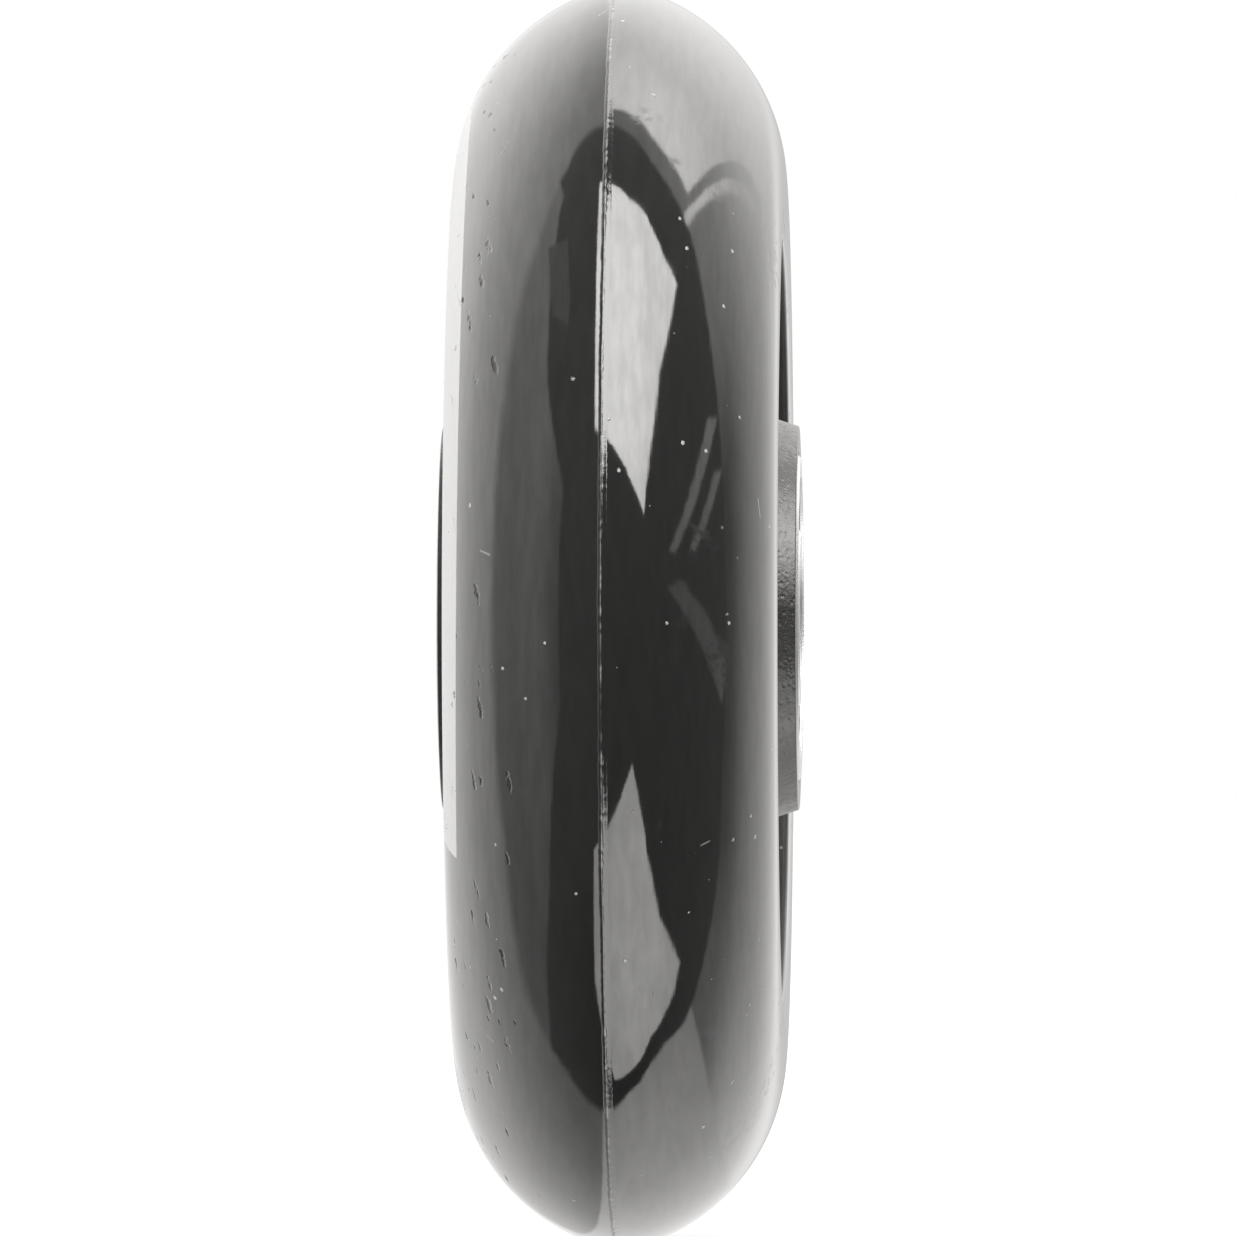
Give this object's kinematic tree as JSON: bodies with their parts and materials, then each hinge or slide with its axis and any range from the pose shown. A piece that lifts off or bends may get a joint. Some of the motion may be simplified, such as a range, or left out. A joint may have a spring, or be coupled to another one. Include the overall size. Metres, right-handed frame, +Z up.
{
  "type": "inline skate wheel",
  "caption": "Inline skate wheel: a round-profile cast tyre on a spoked core, turning on shielded ball bearings and a spacer that clamp on a skate's axle.",
  "frame": {"origin": "middle of the wheel, on the axle's line and half way across the hub", "axes": "+Y along the axle to the right side in the picture, +Z up, +X towards the camera"},
  "size_m": [0.0842, 0.024, 0.0842],
  "materials": {
    "tyre_urethane": "gloss",
    "core_nylon": "fine grain",
    "ring_steel": "ground",
    "ball_steel": "polished",
    "shield_steel": "pressed",
    "clip_steel": "drawn wire",
    "cage_nylon": "satin",
    "spacer_aluminium": "turned"
  },
  "bodies": {
    "axle_stack": {"bearing_spacer": "spacer_aluminium", "left_inner_ring": "ring_steel", "right_inner_ring": "ring_steel"},
    "wheel": {"tyre": "tyre_urethane", "core": "core_nylon", "left_outer_ring": "ring_steel", "left_outer_shield": "shield_steel", "left_outer_clip": "clip_steel", "left_inner_shield": "shield_steel", "left_inner_clip": "clip_steel", "right_outer_ring": "ring_steel", "right_outer_shield": "shield_steel", "right_outer_clip": "clip_steel", "right_inner_shield": "shield_steel", "right_inner_clip": "clip_steel"},
    "left_cage": {"left_cage": "cage_nylon"},
    "left_ball_1": {"left_ball_1": "ball_steel"},
    "left_ball_2": {"left_ball_2": "ball_steel"},
    "left_ball_3": {"left_ball_3": "ball_steel"},
    "left_ball_4": {"left_ball_4": "ball_steel"},
    "left_ball_5": {"left_ball_5": "ball_steel"},
    "left_ball_6": {"left_ball_6": "ball_steel"},
    "left_ball_7": {"left_ball_7": "ball_steel"},
    "right_cage": {"right_cage": "cage_nylon"},
    "right_ball_1": {"right_ball_1": "ball_steel"},
    "right_ball_2": {"right_ball_2": "ball_steel"},
    "right_ball_3": {"right_ball_3": "ball_steel"},
    "right_ball_4": {"right_ball_4": "ball_steel"},
    "right_ball_5": {"right_ball_5": "ball_steel"},
    "right_ball_6": {"right_ball_6": "ball_steel"},
    "right_ball_7": {"right_ball_7": "ball_steel"}
  },
  "joints": [
    {"name": "wheel_spin", "type": "hinge", "parent": "axle_stack", "child": "wheel", "pos_m": [0, 0, 0], "axis": [0, 1, 0], "continuous": true},
    {"name": "left_cage_spin", "type": "hinge", "parent": "axle_stack", "child": "left_cage", "pos_m": [0, -0.0085, 0], "axis": [0, 1, 0], "continuous": true},
    {"name": "left_ball_1_spin", "type": "hinge", "parent": "left_cage", "child": "left_ball_1", "pos_m": [0.0075, -0.0085, 0], "axis": [0, 1, 0], "continuous": true},
    {"name": "left_ball_2_spin", "type": "hinge", "parent": "left_cage", "child": "left_ball_2", "pos_m": [0.00468, -0.0085, -0.00586], "axis": [0, 1, 0], "continuous": true},
    {"name": "left_ball_3_spin", "type": "hinge", "parent": "left_cage", "child": "left_ball_3", "pos_m": [-0.00167, -0.0085, -0.00731], "axis": [0, 1, 0], "continuous": true},
    {"name": "left_ball_4_spin", "type": "hinge", "parent": "left_cage", "child": "left_ball_4", "pos_m": [-0.00676, -0.0085, -0.00325], "axis": [0, 1, 0], "continuous": true},
    {"name": "left_ball_5_spin", "type": "hinge", "parent": "left_cage", "child": "left_ball_5", "pos_m": [-0.00676, -0.0085, 0.00325], "axis": [0, 1, 0], "continuous": true},
    {"name": "left_ball_6_spin", "type": "hinge", "parent": "left_cage", "child": "left_ball_6", "pos_m": [-0.00167, -0.0085, 0.00731], "axis": [0, 1, 0], "continuous": true},
    {"name": "left_ball_7_spin", "type": "hinge", "parent": "left_cage", "child": "left_ball_7", "pos_m": [0.00468, -0.0085, 0.00586], "axis": [0, 1, 0], "continuous": true},
    {"name": "right_cage_spin", "type": "hinge", "parent": "axle_stack", "child": "right_cage", "pos_m": [0, 0.0085, 0], "axis": [0, 1, 0], "continuous": true},
    {"name": "right_ball_1_spin", "type": "hinge", "parent": "right_cage", "child": "right_ball_1", "pos_m": [0.0075, 0.0085, 0], "axis": [0, 1, 0], "continuous": true},
    {"name": "right_ball_2_spin", "type": "hinge", "parent": "right_cage", "child": "right_ball_2", "pos_m": [0.00468, 0.0085, -0.00586], "axis": [0, 1, 0], "continuous": true},
    {"name": "right_ball_3_spin", "type": "hinge", "parent": "right_cage", "child": "right_ball_3", "pos_m": [-0.00167, 0.0085, -0.00731], "axis": [0, 1, 0], "continuous": true},
    {"name": "right_ball_4_spin", "type": "hinge", "parent": "right_cage", "child": "right_ball_4", "pos_m": [-0.00676, 0.0085, -0.00325], "axis": [0, 1, 0], "continuous": true},
    {"name": "right_ball_5_spin", "type": "hinge", "parent": "right_cage", "child": "right_ball_5", "pos_m": [-0.00676, 0.0085, 0.00325], "axis": [0, 1, 0], "continuous": true},
    {"name": "right_ball_6_spin", "type": "hinge", "parent": "right_cage", "child": "right_ball_6", "pos_m": [-0.00167, 0.0085, 0.00731], "axis": [0, 1, 0], "continuous": true},
    {"name": "right_ball_7_spin", "type": "hinge", "parent": "right_cage", "child": "right_ball_7", "pos_m": [0.00468, 0.0085, 0.00586], "axis": [0, 1, 0], "continuous": true}
  ],
  "couplings": [
    {"joint": "left_cage_spin", "follows": "wheel_spin", "ratio": 0.6323},
    {"joint": "left_ball_1_spin", "follows": "wheel_spin", "ratio": 1.7573},
    {"joint": "left_ball_2_spin", "follows": "wheel_spin", "ratio": 1.7573},
    {"joint": "left_ball_3_spin", "follows": "wheel_spin", "ratio": 1.7573},
    {"joint": "left_ball_4_spin", "follows": "wheel_spin", "ratio": 1.7573},
    {"joint": "left_ball_5_spin", "follows": "wheel_spin", "ratio": 1.7573},
    {"joint": "left_ball_6_spin", "follows": "wheel_spin", "ratio": 1.7573},
    {"joint": "left_ball_7_spin", "follows": "wheel_spin", "ratio": 1.7573},
    {"joint": "right_cage_spin", "follows": "wheel_spin", "ratio": 0.6323},
    {"joint": "right_ball_1_spin", "follows": "wheel_spin", "ratio": 1.7573},
    {"joint": "right_ball_2_spin", "follows": "wheel_spin", "ratio": 1.7573},
    {"joint": "right_ball_3_spin", "follows": "wheel_spin", "ratio": 1.7573},
    {"joint": "right_ball_4_spin", "follows": "wheel_spin", "ratio": 1.7573},
    {"joint": "right_ball_5_spin", "follows": "wheel_spin", "ratio": 1.7573},
    {"joint": "right_ball_6_spin", "follows": "wheel_spin", "ratio": 1.7573},
    {"joint": "right_ball_7_spin", "follows": "wheel_spin", "ratio": 1.7573}
  ]
}
